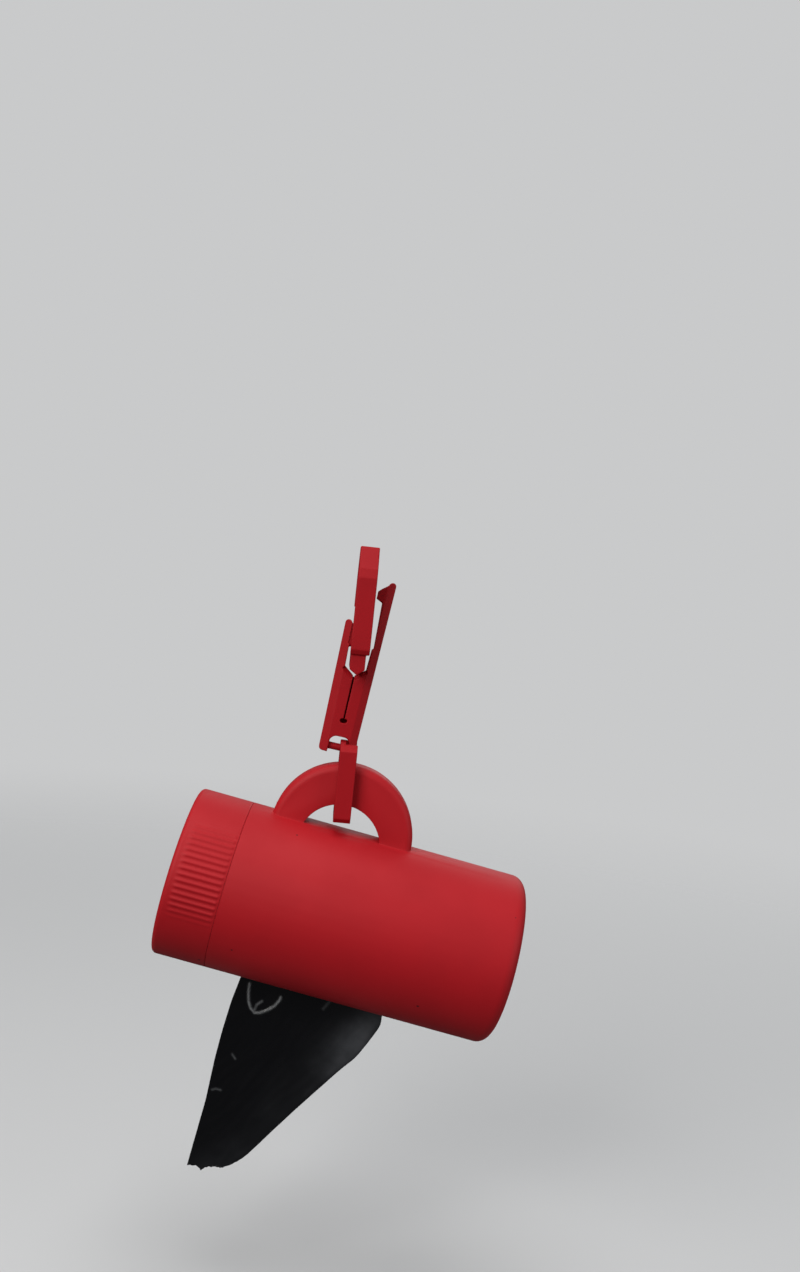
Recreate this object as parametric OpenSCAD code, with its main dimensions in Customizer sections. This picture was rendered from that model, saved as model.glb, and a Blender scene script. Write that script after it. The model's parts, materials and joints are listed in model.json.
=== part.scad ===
// Waste bag dispenser for a dog leash, hanging as it is carried.
// A screw-capped barrel holds the roll of bags. It hangs by its arch from a link, the link hangs from
// the bar of a snap fork, and the fork hangs in a hook that goes round the leash.
// Millimetres, +Z up, X along the barrel towards its closed end, Y away from the front.
// The origin is the inner top of the leash hook, where the leash bears.

/* [Barrel] */
// Outside diameter of the barrel and of its cap
barrel_d = 44; // [42:0.5:50]
// Length over the cap and the closed end
barrel_l = 90; // [87:1:110]
// Wall of the barrel
barrel_wall = 2.5; // [2.3:0.1:3]
// Thickness of the closed end
end_wall = 2.2; // [1.6:0.1:3]
// Corner radius of the closed end
end_round = 3.4; // [2:0.1:5]
// How far the closed end hangs down, in degrees from level
hang_tilt = 10; // [4:0.5:12]

/* [Arch] */
// Distance from the cap's face to the middle of the arch
arch_at = 38.9; // [36:0.1:48]
// Outer radius of the arch
arch_out_r = 18.9; // [18:0.1:20]
// Inner radius of the arch, where the link slides
arch_in_r = 10.9; // [10.5:0.1:11.5]
// Depth of the arch from front to back
arch_depth = 8; // [6:0.25:8.5]
// Height of the inner arc's centre below the barrel's top line
arch_sink = 3.9; // [3:0.1:4.2]
// How much more the crown is thick than the feet
arch_crown = 2.6; // [1.5:0.1:3]
// Rounding of the arch's outer edges
arch_round = 2; // [1:0.1:2.5]

/* [Bag slot] */
// Length of the slot under the barrel
slot_l = 46; // [42:1:50]
// Width of the slot
slot_w = 6; // [4:0.5:8]
// Distance from the cap's face to the middle of the slot
slot_at = 45; // [43:0.5:48]

/* [Cap] */
// Length of the cap's skirt outside
cap_l = 14.1; // [12:0.1:18]
// Thickness of the cap's face
cap_face = 2.2; // [1.6:0.1:3]
// Wall of the cap's skirt
skirt_wall = 1.1; // [0.9:0.05:1.2]
// Rounding of the cap's rim
cap_round = 1.2; // [0.8:0.1:2.2]
// Width of the seam between the cap and the barrel
seam = 0.2; // [0.15:0.05:0.5]
// Grip ribs in each of the two grips
ribs = 17; // [9:2:21]
// Angle from rib to rib, in degrees
rib_pitch = 4.1; // [4:0.1:6]
// Angle of the front grip's middle above level, in degrees
rib_turn = 17; // [0:1:30]
// Height of a rib over the skirt
rib_h = 0.3; // [0.2:0.05:0.5]
// Width of a rib at its foot
rib_w = 0.95; // [0.6:0.05:1.2]
// Distance from the cap's face to the ribs
rib_start = 2; // [1.5:0.1:3]

/* [Bags] */
// Diameter of the roll of bags
roll_d = 33; // [24:0.5:33]
// Length of the roll, the width of a folded bag
roll_l = 62; // [56:1:64]
// Distance from the cap's face to the roll
roll_at = 9.5; // [8:0.1:20]
// Outside diameter of the paper core
core_d = 13; // [10:0.5:15]
// Wall of the paper core
core_wall = 0.9; // [0.6:0.1:1.5]
// How far the core sticks out at each end of the roll
core_out = 0.4; // [0.2:0.1:1]
// Width of the tail's straight edge from the slot's cap end
tail_in = 1.75; // [1:0.25:5]
// Length of the tail along its straight edge, below the barrel
tail_l = 54; // [40:1:80]
// Width of the tail where it leaves the slot
tail_w = 39.5; // [36:0.5:41]
// Thickness of the folded film with its air
tail_t = 1; // [0.6:0.1:2]

/* [Leash hook] */
// Width of the hook's front bar
hook_w = 5; // [4.6:0.1:5.2]
// Depth of the space for the leash
hook_in = 14; // [13:0.5:18]
// Height of the space for the leash
hook_in_h = 23.85; // [22:0.05:28]
// Thickness of the hook at its crown
hook_crown = 3; // [2.5:0.1:4]
// Thickness of the hook's front bar and nose
hook_bar = 2.6; // [2:0.1:3.5]
// Width of the arm that carries the fork
arm_w = 3.9; // [3.4:0.1:4]
// Place of the arm left of the hook's middle
arm_off = 0.3; // [0.1:0.1:0.5]
// Depth of the arm to its keel
arm_h = 6.6; // [5.5:0.1:6.7]
// How far the nose reaches down at the back
nose_l = 13; // [11:0.5:14]
// Thickness of the spring tongue that shuts the hook
tongue_t = 1.6; // [1.2:0.1:2]
// Turn of the whole clip about the load line, in degrees
clip_yaw = 2; // [0:0.5:4]

/* [Snap fork] */
// Lean of the fork from the load line, in degrees
fork_lean = 7.2; // [5:0.1:7.5]
// Distance of the fork's middle line right of its seat
fork_off = 0.3; // [0.1:0.05:0.4]
// Half width of the fork at its seat
fork_half = 5.3; // [5.2:0.05:5.6]
// Flare of each side towards the prongs, in degrees
fork_flare = 1; // [0:0.1:1.5]
// Thickness of the fork
fork_t = 3.8; // [3:0.1:4]
// Width of the prongs
prong_w = 1.85; // [1.7:0.05:2]
// Width of the bevel along the fork's outer edges
bevel_w = 2; // [1:0.1:2.2]
// Depth of the bevel along the fork's outer edges
bevel_t = 1.1; // [0.4:0.1:1.2]
// Distance from the seat to the fork's lower bar
bar_drop = 28.2; // [27.5:0.1:32]
// Diameter of the fork's lower bar
bar_d = 1.9; // [1.6:0.05:2.1]
// Height of the short prong over the seat
short_prong = 5.4; // [4:0.1:8]
// Height of the long prong over the seat
long_prong = 17.3; // [14:0.1:18]
// Depth of the notch between the prongs below the seat
notch_l = 9; // [8.9:0.1:10]
// Length of the spring slit below the notch
slit_l = 11.4; // [8:0.1:13]
// Width of the spring slit
slit_w = 0.4; // [0.3:0.05:0.8]
// Skin that closes the slit and its hole at the back
slit_skin = 0.6; // [0.4:0.1:1]

/* [Link] */
// Width of the link
link_w = 4.5; // [4.2:0.1:4.8]
// Place of the link left of the load line
link_off = 0.2; // [0.1:0.05:0.4]
// Half of the space inside the link, from front to back
link_in = 4.9; // [4.7:0.1:6]
// Thickness of the link's front and back bars
link_bar = 2.6; // [2:0.1:3.2]
// Thickness of the link's bottom
link_floor = 3.9; // [3.3:0.1:4.2]
// Drop from the fork's bar to the link's inner floor
link_drop = 14.8; // [14.5:0.1:17]
// Width of the neck that goes through the fork, at the link's left side
neck_w = 1.5; // [1.2:0.1:1.6]
// Thickness of the neck round the bar
neck_t = 1; // [0.8:0.1:1]

/* [Fits] */
// Gap between pieces that hang on or slide in each other
play = 0.3; // [0.25:0.05:0.4]

/* [Hidden] */
$fn = 64;

plastic = "#b51e28";
film = "#17171a";
paper = "#a88a64";

// Barrel, measured along its axis from the cap's face
barrel_r = barrel_d / 2;
bore_r = barrel_r - barrel_wall;
skirt_r = barrel_r - skirt_wall;
collar_r = skirt_r - play;
collar_at = cap_face + play;
shoulder_at = cap_l + seam;
arch_in_h = barrel_r - arch_sink;
arch_out_h = arch_in_h + arch_crown;
arch_foot = bore_r + barrel_wall / 4;
collar_bevel = 0.4;
edge = 0.1;
roll_r = roll_d / 2;
core_r = core_d / 2;
roll_drop = bore_r - roll_r - play;
roll_fit = 0.05;

// Hook, with y and z measured from the seat of the leash
half_in = hook_in / 2;
arm_top = -hook_in_h;
spine_front = -half_in - hook_bar;
spine_low = arm_top - 1.25;
spine_bevel = 0.7;
crown_half = 3.8;
facet_in = 0.9;
facet_z = -2.85;
bend_z = -5.3;
nose_bevel = 0.8;
keel_h = 1.4;
root_r = 1.1;
root_y = half_in + root_r;
root_z = arm_top + play + root_r;

// Fork, with a (across) and b (up) measured from its middle line and from the centre of its seat
seat_r = 1.28;
seat_z = arm_top + play + seat_r;
seat_left = fork_half - bevel_w / 2 - 0.4;
seat_right = 2;
web_t = 2.4;
web_h = 4.6;
web_tip = 1.7;
web_bevel = 1.6;
tooth_low = 11.5;
tooth_tip = 1.25;
tooth_rise = 0.8;
tooth_h = 2;
tooth_slope = 0.9;
prong_swell = 0.7;
notch_top = fork_half - prong_w - 0.3;
notch_half = notch_top - 0.3;
notch_shoulder = notch_l - 2.2;
notch_bevel = 1.2;
notch_bevel_t = 1;
window_left = 2.45;
window_right = 2.95;
window_round = 1.8;
window_h = 2.95;
hole_w = 1.9;
hole_h = 1.2;
foot_l = 1.6;

// Link and arch, down the load line
neck_at = link_off + (link_w - neck_w) / 2;
bar_a = (bar_drop * sin(fork_lean) - neck_at) / cos(fork_lean) - fork_off;
bar_z = seat_z - (bar_a + fork_off) * sin(fork_lean) - bar_drop * cos(fork_lean);
saddle_r = bar_d / 2 + play;
link_half = link_in + link_bar;
floor_z = bar_z - link_drop;
link_low = floor_z - link_floor;
floor_bevel = 0.8;
link_facet = 1.9;
facet_h = 1.5;
foot_facet = 1.2;
throat = bar_z - 0.8;
throat_half = bar_d / 2 + play / 2;
neck_room = 2;
neck_low = 0.7;
split = 0.7;
hang_x = -0.3;
seat_reach = abs(hang_x + link_off) + (link_w / 2 - floor_bevel) * cos(clip_yaw)
    + arch_depth / 2 * sin(clip_yaw);
hang_z = floor_z + play - sqrt(pow(arch_in_r, 2) - pow(seat_reach, 2));

// Half width of the fork at the height b
function half_at(b) = fork_half + b * tan(fork_flare);

// Puts a shape drawn along the barrel's axis, with x from the cap's face, where the barrel hangs
module on_barrel() {
    translate([hang_x, 0, hang_z])
        rotate([0, hang_tilt, 0])
            translate([-arch_at, 0, -arch_in_h])
                children();
}

// Turns an outline of radius and distance round the barrel's axis
module turned() {
    rotate([0, 90, 0])
        rotate_extrude($fn = 128)
            children();
}

// Extrudes an outline of y and z across the clip, to the width w
module across(w) {
    rotate([90, 0, 90])
        linear_extrude(height = w, center = true)
            children();
}

// Extrudes an outline of x and z from front to back, to the thickness t
module upright(t) {
    rotate([90, 0, 0])
        linear_extrude(height = t, center = true)
            children();
}

module on_clip() {
    rotate([0, 0, clip_yaw])
        children();
}

// Puts a shape drawn on the fork's middle line, with b = 0 at the seat, where the fork hangs
module on_fork() {
    on_clip()
        translate([0, 0, seat_z])
            rotate([0, fork_lean, 0])
                translate([fork_off, 0, 0])
                    children();
}

// Round-ended slot outline, l long and w wide, along x
module stadium(l, w) {
    square([l - w, w], center = true);
    for (s = [-1, 1])
        translate([s * (l - w) / 2, 0])
            circle(d = w);
}

// Leash hook: crown, front bar with two facets, nose at the back, and the keeled arm of the fork
module leash_hook() {
    facet_y = spine_front + facet_in;
    arm_front = -half_in - hook_bar / 2;
    arm_back = root_y + root_r;
    color(plastic)
        on_clip() {
            across(hook_w)
                difference() {
                    polygon([
                        [-crown_half, hook_crown], [facet_y, facet_z], [spine_front, bend_z],
                        [spine_front, arm_top], [spine_front + spine_bevel, spine_low],
                        [-half_in, spine_low], [-half_in, -half_in], [half_in, -half_in],
                        [half_in, -nose_l], [half_in + hook_bar - nose_bevel, -nose_l],
                        [-spine_front, -nose_l + nose_bevel], [-spine_front, bend_z],
                        [-facet_y, facet_z], [crown_half, hook_crown]
                    ]);
                    translate([0, -half_in])
                        circle(r = half_in);
                }
            translate([-arm_off, (arm_front + arm_back) / 2, 0])
                upright(arm_back - arm_front)
                    polygon([
                        [-arm_w / 2, arm_top], [-arm_w / 2, arm_top - arm_h + keel_h],
                        [0, arm_top - arm_h], [arm_w / 2, arm_top - arm_h + keel_h],
                        [arm_w / 2, arm_top]
                    ]);
        }
}

// Spring tongue that shuts the hook: it stands on the arm and its tip lies inside the nose
module hook_gate() {
    tip_y = half_in - play;
    tip_z = -nose_l + 2;
    bevel = 0.6;
    bend = -nose_l - 3.2;
    root_front = root_y - root_r + 0.1;
    root_back = root_front + tongue_t;
    color(plastic)
        on_clip()
            translate([-arm_off, 0, 0]) {
                across(arm_w)
                    translate([root_y, root_z])
                        circle(r = root_r);
                across(arm_w)
                    polygon([
                        [root_back, root_z], [root_front, root_z], [root_front, bend],
                        [tip_y - tongue_t, -nose_l - play], [tip_y - tongue_t, tip_z],
                        [tip_y - bevel, tip_z + bevel], [tip_y, tip_z], [tip_y, -nose_l - play],
                        [half_in + hook_bar - nose_bevel, -nose_l - play], [root_back, bend]
                    ]);
            }
}

// Front view of the fork without its cuts: two uneven prongs with round tips, and the tooth
module fork_outline() {
    foot = -bar_drop - foot_l;
    tip_r = prong_w / 2;
    for (side = [-1, 1]) {
        tip = (side < 0 ? short_prong : long_prong) - tip_r;
        translate([side * (half_at(tip) - tip_r), tip])
            circle(r = tip_r);
        polygon([
            [side * half_at(foot + tip_r), foot + tip_r], [side * half_at(tip), tip],
            [side * (half_at(tip) - prong_w), tip], [side * (fork_half - prong_w), 0],
            [side * (fork_half - prong_w), -1], [0, -1], [0, foot + tip_r]
        ]);
        translate([side * (half_at(foot) - tip_r), foot + tip_r])
            circle(r = tip_r);
    }
    translate([-half_at(foot) + tip_r, foot])
        square([half_at(foot) * 2 - prong_w, tip_r * 2]);
    polygon([
        [fork_half - prong_w, 0], [half_at(tooth_low) - prong_w - prong_swell, tooth_low],
        [tooth_tip, tooth_low + tooth_rise], [tooth_tip, tooth_low + tooth_rise + tooth_h],
        [tooth_tip + tooth_slope, tooth_low + tooth_rise + tooth_h + 0.9],
        [half_at(long_prong) - prong_w / 2, long_prong - 0.1], [fork_half - 0.2, 0]
    ]);
}

// Prism that bevels the fork's outer edge, side -1 left and 1 right, face -1 front and 1 back
module edge_bevel(side, face) {
    spare = 1;
    translate([side * fork_half, face * fork_t / 2, 0])
        rotate([0, side * fork_flare, 0])
            linear_extrude(height = 80, center = true)
                polygon([
                    [-side * bevel_w, 0], [side * spare, -face * bevel_t * (1 + spare / bevel_w)],
                    [side * spare, face], [-side * bevel_w, face]
                ]);
}

// Prism that bevels the shoulder of the notch from the apex to its side
module shoulder_bevel(side, face) {
    rise = notch_l - notch_shoulder;
    translate([side * notch_half / 2, face * fork_t / 2, -notch_l + rise / 2])
        rotate([0, -side * atan(rise / notch_half), 0])
            rotate([90, 0, 90])
                linear_extrude(height = notch_half * 1.3, center = true)
                    polygon([
                        [0, -notch_bevel], [face, -notch_bevel], [face, 1],
                        [-face * notch_bevel_t, 1], [-face * notch_bevel_t, 0]
                    ]);
}

// Snap fork: two uneven prongs on a slit panel, the short one with the seat, and the bar of the link
module snap_fork() {
    foot = -bar_drop - foot_l - 1;
    window_top = window_h - bar_drop;
    color(plastic)
        on_fork() {
            difference() {
                upright(fork_t)
                    fork_outline();
                for (side = [-1, 1], face = [-1, 1]) {
                    edge_bevel(side, face);
                    shoulder_bevel(side, face);
                }
                // Notch for the hook's arm
                upright(fork_t + 1)
                    polygon([
                        [-notch_top, 0.5], [-notch_half, -notch_shoulder], [0, -notch_l],
                        [notch_half, -notch_shoulder], [notch_top, 0.5]
                    ]);
                // Spring slit and its relief hole, cut from the front
                translate([0, -slit_skin, 0])
                    upright(fork_t)
                        union() {
                            translate([-slit_w / 2, -notch_l - slit_l - 0.2])
                                square([slit_w, slit_l + 0.7]);
                            translate([0, -notch_l - slit_l - hole_h / 2])
                                stadium(hole_w, hole_h);
                        }
                // Window over the bar, with round upper corners
                upright(fork_t + 1)
                    union() {
                        translate([window_round - window_left, window_top - window_round])
                            circle(r = window_round);
                        translate([window_right - window_round, window_top - window_round])
                            circle(r = window_round);
                        translate([window_round - window_left, foot])
                            square([window_left + window_right - 2 * window_round, window_top - foot]);
                        translate([-window_left, foot])
                            square([window_left + window_right, window_top - window_round - foot]);
                    }
            }
            // Web of the seat, beside the short prong
            upright(web_t)
                polygon([
                    [-seat_left, 0], [web_tip, 0], [web_tip, web_h - web_bevel],
                    [web_tip - web_bevel, web_h], [-seat_left, web_h]
                ]);
            // Lower bar, from side to side
            translate([0, 0, -bar_drop])
                rotate([0, 90, 0])
                    cylinder(d = bar_d, h = half_at(-bar_drop) * 2 - 1, center = true);
        }
    // Seat that rests on the hook's arm, round underneath and level
    color(plastic)
        on_clip()
            translate([(seat_right - seat_left) / 2, 0, seat_z])
                rotate([0, 90, 0])
                    cylinder(r = seat_r, h = seat_left + seat_right, center = true);
}

// Outline of the link in y and z: a loop with a saddle for the bar on top, low beside the saddle so
// that it can swing in the fork's window
module link_outline() {
    shoulder = bar_z + saddle_r + neck_t / 3;
    neck_y = fork_t / 2 + neck_room;
    difference() {
        union() {
            polygon([
                [link_facet - link_half, shoulder], [-link_half, shoulder - facet_h],
                [-link_half, link_low + foot_facet], [foot_facet - link_half, link_low],
                [link_half - foot_facet, link_low], [link_half, link_low + foot_facet],
                [link_half, shoulder - facet_h], [link_half - link_facet, shoulder],
                [neck_y, shoulder], [neck_y, bar_z + neck_low],
                [-neck_y, bar_z + neck_low], [-neck_y, shoulder]
            ]);
            translate([0, bar_z])
                circle(r = saddle_r + neck_t);
        }
        translate([0, bar_z])
            circle(r = saddle_r);
        polygon([
            [-throat_half, bar_z], [-throat_half, throat], [-link_in, throat + throat_half - link_in],
            [-link_in, floor_z + floor_bevel], [floor_bevel - link_in, floor_z],
            [link_in - floor_bevel, floor_z], [link_in, floor_z + floor_bevel],
            [link_in, throat + throat_half - link_in], [throat_half, throat], [throat_half, bar_z]
        ]);
        // Slanted split in the back bar, where the link is sprung open to hook it on
        translate([link_in + link_bar / 2, (bar_z + floor_z) / 2])
            rotate(30)
                square([link_bar * 3, split], center = true);
    }
}

// Link: cut away round the fork's right side, wide elsewhere, its floor bevelled for the arch
module link() {
    neck_y = fork_t / 2 + neck_room;
    cut_low = 4;
    color(plastic)
        on_clip()
            translate([-link_off, 0, 0])
                difference() {
                    across(link_w)
                        link_outline();
                    translate([neck_w - link_w / 2, -neck_y, bar_z - cut_low])
                        cube([link_w, neck_y * 2, cut_low * 2]);
                    for (s = [-1, 1])
                        translate([s * link_w / 2, 0, floor_z])
                            rotate([0, 45, 0])
                                cube([floor_bevel * sqrt(2), arch_depth + 2 * play,
                                    floor_bevel * sqrt(2)], center = true);
                }
}

// Housing: barrel, closed end, collar for the cap, slot for the bags and the arch, moulded in one
module housing() {
    corner = [for (t = [0 : 7.5 : 90])
        [barrel_r - end_round + end_round * cos(t), barrel_l - end_round + end_round * sin(t)]];
    color(plastic)
        on_barrel()
            difference() {
                union() {
                    turned()
                        polygon(concat(
                            [[0, collar_at], [collar_r - collar_bevel, collar_at],
                                [collar_r, collar_at + collar_bevel], [collar_r, shoulder_at],
                                [barrel_r - edge, shoulder_at], [barrel_r, shoulder_at + edge]],
                            corner,
                            [[0, barrel_l]]
                        ));
                    intersection() {
                        translate([arch_at, 0, arch_out_h])
                            rotate([90, 0, 0])
                                rotate_extrude($fn = 128)
                                    union() {
                                        translate([0, -arch_depth / 2 + arch_round])
                                            square([arch_out_r, arch_depth - 2 * arch_round]);
                                        translate([0, -arch_depth / 2])
                                            square([arch_out_r - arch_round, arch_depth]);
                                        for (s = [-1, 1])
                                            translate([
                                                arch_out_r - arch_round, s * (arch_depth / 2 - arch_round)
                                            ])
                                                circle(r = arch_round);
                                    }
                        translate([0, -arch_depth, arch_foot])
                            cube([barrel_l, arch_depth * 2, arch_out_r * 2 + barrel_r]);
                    }
                }
                // Bore, open at the collar
                rotate([0, 90, 0])
                    cylinder(r = bore_r, h = barrel_l - end_wall, $fn = 128);
                // Inside of the arch, down to the barrel's skin
                difference() {
                    translate([arch_at, 0, arch_in_h])
                        rotate([90, 0, 0])
                            cylinder(r = arch_in_r, h = arch_depth + 2, center = true, $fn = 96);
                    rotate([0, 90, 0])
                        cylinder(r = barrel_r, h = barrel_l, $fn = 128);
                }
                // Slot
                translate([slot_at, 0, -barrel_r])
                    linear_extrude(height = barrel_r)
                        stadium(slot_l, slot_w);
            }
}

// Screw cap: face, skirt and two patches of grip ribs, at the front and the back
module screw_cap() {
    rim = [for (t = [0 : 10 : 90])
        [barrel_r - cap_round + cap_round * sin(t), cap_round - cap_round * cos(t)]];
    color(plastic)
        on_barrel() {
            turned()
                polygon(concat(
                    [[0, 0]],
                    rim,
                    [[barrel_r, cap_l - edge], [barrel_r - edge, cap_l], [skirt_r, cap_l],
                        [skirt_r, cap_face], [0, cap_face]]
                ));
            for (side = [-90, 90], n = [0 : ribs - 1])
                rotate([side - rib_turn + (n - (ribs - 1) / 2) * rib_pitch, 0, 0])
                    translate([rib_start, 0, barrel_r - 0.4])
                        rotate([0, 90, 0])
                            linear_extrude(height = cap_l - rib_start - 0.3)
                                polygon([
                                    [0, -rib_w / 2], [-0.4, -rib_w / 2], [-0.4 - rib_h, -rib_w / 5],
                                    [-0.4 - rib_h, rib_w / 5], [-0.4, rib_w / 2], [0, rib_w / 2]
                                ]);
        }
}

// Roll of bags, lying on the floor of the bore
module bag_roll() {
    color(film)
        on_barrel()
            translate([roll_at, 0, -roll_drop])
                rotate([0, 90, 0])
                    difference() {
                        cylinder(r = roll_r, h = roll_l, $fn = 128);
                        translate([0, 0, -1])
                            cylinder(r = core_r + roll_fit, h = roll_l + 2);
                    }
}

// Paper core of the roll
module roll_core() {
    color(paper)
        on_barrel()
            translate([roll_at - core_out, 0, -roll_drop])
                rotate([0, 90, 0])
                    difference() {
                        cylinder(r = core_r, h = roll_l + 2 * core_out);
                        translate([0, 0, -1])
                            cylinder(r = core_r - core_wall, h = roll_l + 2 * core_out + 2);
                    }
}

// Tail of the first bag, drawn out of the slot: straight towards the cap, torn on the slant
module bag_tail() {
    edge_x = slot_at - slot_l / 2 + tail_in;
    top_z = -barrel_r;
    color(film)
        on_barrel()
            upright(tail_t)
                polygon([
                    [edge_x, -bore_r], [edge_x, top_z - tail_l], [edge_x + tail_w * 0.13, top_z - tail_l],
                    [edge_x + tail_w * 0.34, top_z - tail_l * 0.89],
                    [edge_x + tail_w * 0.8, top_z - tail_l * 0.39],
                    [edge_x + tail_w * 0.92, top_z - tail_l * 0.26],
                    [edge_x + tail_w, top_z - tail_l * 0.07], [edge_x + tail_w, -bore_r]
                ]);
}

leash_hook();
hook_gate();
snap_fork();
link();
housing();
screw_cap();
bag_roll();
roll_core();
bag_tail();
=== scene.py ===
import json
import math

import bmesh
import bpy
from mathutils import Matrix, Vector, noise


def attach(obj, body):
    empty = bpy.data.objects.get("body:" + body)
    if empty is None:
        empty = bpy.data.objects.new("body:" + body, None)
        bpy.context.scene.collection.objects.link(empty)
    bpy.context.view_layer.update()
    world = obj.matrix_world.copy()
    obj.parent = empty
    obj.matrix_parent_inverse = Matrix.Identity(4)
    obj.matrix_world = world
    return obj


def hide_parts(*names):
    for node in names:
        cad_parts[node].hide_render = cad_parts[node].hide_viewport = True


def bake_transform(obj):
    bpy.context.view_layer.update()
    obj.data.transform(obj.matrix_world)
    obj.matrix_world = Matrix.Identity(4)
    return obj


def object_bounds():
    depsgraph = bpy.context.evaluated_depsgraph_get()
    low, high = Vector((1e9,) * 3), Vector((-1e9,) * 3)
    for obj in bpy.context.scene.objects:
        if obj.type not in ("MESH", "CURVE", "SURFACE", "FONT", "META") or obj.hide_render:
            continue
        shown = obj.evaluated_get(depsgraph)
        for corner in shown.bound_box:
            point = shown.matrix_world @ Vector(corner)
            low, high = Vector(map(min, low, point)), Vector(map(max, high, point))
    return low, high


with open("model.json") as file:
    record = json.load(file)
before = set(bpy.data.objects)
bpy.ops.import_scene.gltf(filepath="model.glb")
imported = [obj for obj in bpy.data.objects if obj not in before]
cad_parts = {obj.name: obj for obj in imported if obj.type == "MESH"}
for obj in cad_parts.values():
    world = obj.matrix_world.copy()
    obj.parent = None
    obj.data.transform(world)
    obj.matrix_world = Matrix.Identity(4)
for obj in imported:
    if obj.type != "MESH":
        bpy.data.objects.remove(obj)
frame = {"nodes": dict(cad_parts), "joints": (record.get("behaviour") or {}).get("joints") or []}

scene = bpy.context.scene
cad_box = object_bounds()
MM = 0.001

# Camera. It looks almost level at the middle of the hanging dispenser from a hand's reach away,
# and it is rolled a few degrees, as in the photograph.
camera_place = Vector((3.9, -294.7, -11.85)) * MM
camera_yaw = math.radians(1.23)
camera_pitch = math.radians(-1.47)
camera_roll = math.radians(6.0)
camera = bpy.data.objects.new("camera", bpy.data.cameras.new("camera"))
camera.data.lens = 31.57
camera.data.clip_start = 0.01
camera.matrix_world = (
    Matrix.Translation(camera_place)
    @ Matrix.Rotation(-camera_yaw, 4, "Z")
    @ Matrix.Rotation(math.radians(90) + camera_pitch, 4, "X")
    @ Matrix.Rotation(camera_roll, 4, "Z")
)
scene.collection.objects.link(camera)
scene.camera = camera
scene.view_settings.view_transform = "Standard"

# Studio floor. A round sheet of pale paper under the object, which fades out into the pale
# surround, so that no horizon shows from any side. It catches the object's soft shadow.
floor_below = 34 * MM
floor_z = cad_box[0].z - floor_below
floor_r = 1.5
floor_fade_from = 0.2
floor_fade_to = 0.9
floor_middle_r = 0.05
floor_around = 96
floor_pale = (0.635, 0.64, 0.645, 1)
floor_bounce = (0.13, 0.131, 0.133, 1)


def math_node(tree, operation, first, second=None, third=None):
    """A Math node whose inputs are sockets or numbers; returns its output."""
    node = tree.nodes.new("ShaderNodeMath")
    node.operation = operation
    for socket, value in zip(node.inputs, (first, second, third)):
        if value is None:
            continue
        if isinstance(value, (int, float)):
            socket.default_value = value
        else:
            tree.links.new(value, socket)
    return node.outputs[0]


def ramp_node(tree, value, low, high, from_value=0.0, to_value=1.0):
    """Maps value from low..high to from_value..to_value, softly and held at both ends."""
    node = tree.nodes.new("ShaderNodeMapRange")
    node.interpolation_type = "SMOOTHSTEP"
    tree.links.new(value, node.inputs["Value"])
    node.inputs["From Min"].default_value = low
    node.inputs["From Max"].default_value = high
    node.inputs["To Min"].default_value = from_value
    node.inputs["To Max"].default_value = to_value
    return node.outputs["Result"]


def mix_colour(tree, mask, first, second):
    """Mixes two colours, each a socket or an RGBA value, by a mask socket."""
    node = tree.nodes.new("ShaderNodeMix")
    node.data_type = "RGBA"
    tree.links.new(mask, node.inputs["Factor"])
    for socket, colour in zip((node.inputs[6], node.inputs[7]), (first, second)):
        if isinstance(colour, tuple):
            socket.default_value = colour
        else:
            tree.links.new(colour, socket)
    return node.outputs[2]


def turned_mesh(name, profile, around):
    """Turns a profile of (distance along Z, radius), in metres, round Z as a mesh of quads."""
    verts = []
    for height, radius in profile:
        for n in range(around):
            turn = 2 * math.pi * n / around
            verts.append((radius * math.cos(turn), radius * math.sin(turn), height))
    faces = []
    for row in range(len(profile) - 1):
        for n in range(around):
            after = (n + 1) % around
            faces.append(
                (row * around + n, row * around + after,
                 (row + 1) * around + after, (row + 1) * around + n)
            )
    mesh = bpy.data.meshes.new(name)
    mesh.from_pydata(verts, [], faces)
    return mesh


paper = bpy.data.materials.new("pale_paper")
paper.use_nodes = True
paper_tree = paper.node_tree
paper_shader = paper_tree.nodes["Principled BSDF"]
paper_seen = paper_tree.nodes.new("ShaderNodeLightPath").outputs["Is Camera Ray"]
paper_tree.links.new(
    mix_colour(paper_tree, paper_seen, floor_bounce, floor_pale), paper_shader.inputs["Base Color"]
)
paper_reach = paper_tree.nodes.new("ShaderNodeVectorMath")
paper_reach.operation = "LENGTH"
paper_tree.links.new(
    paper_tree.nodes.new("ShaderNodeTexCoord").outputs["Object"], paper_reach.inputs[0]
)
paper_tree.links.new(
    ramp_node(
        paper_tree, paper_reach.outputs["Value"], floor_fade_from, floor_fade_to, 1.0, 0.0
    ),
    paper_shader.inputs["Alpha"],
)
paper_shader.inputs["Roughness"].default_value = 0.9
paper_shader.inputs["Specular IOR Level"].default_value = 0.1
floor_mesh = turned_mesh(
    "paper_floor",
    [(floor_z, radius) for radius in (floor_r, floor_r * 0.5, floor_middle_r)],
    floor_around,
)
floor_shape = bmesh.new()
floor_shape.from_mesh(floor_mesh)
floor_middle = [
    edge for edge in floor_shape.edges
    if edge.is_boundary and edge.verts[0].co.xy.length < 2 * floor_middle_r
]
bmesh.ops.holes_fill(floor_shape, edges=floor_middle)
bmesh.ops.recalc_face_normals(floor_shape, faces=floor_shape.faces)
floor_shape.to_mesh(floor_mesh)
floor_shape.free()
floor_mesh.materials.append(paper)
floor = bpy.data.objects.new("paper_floor", floor_mesh)
scene.collection.objects.link(floor)

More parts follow.
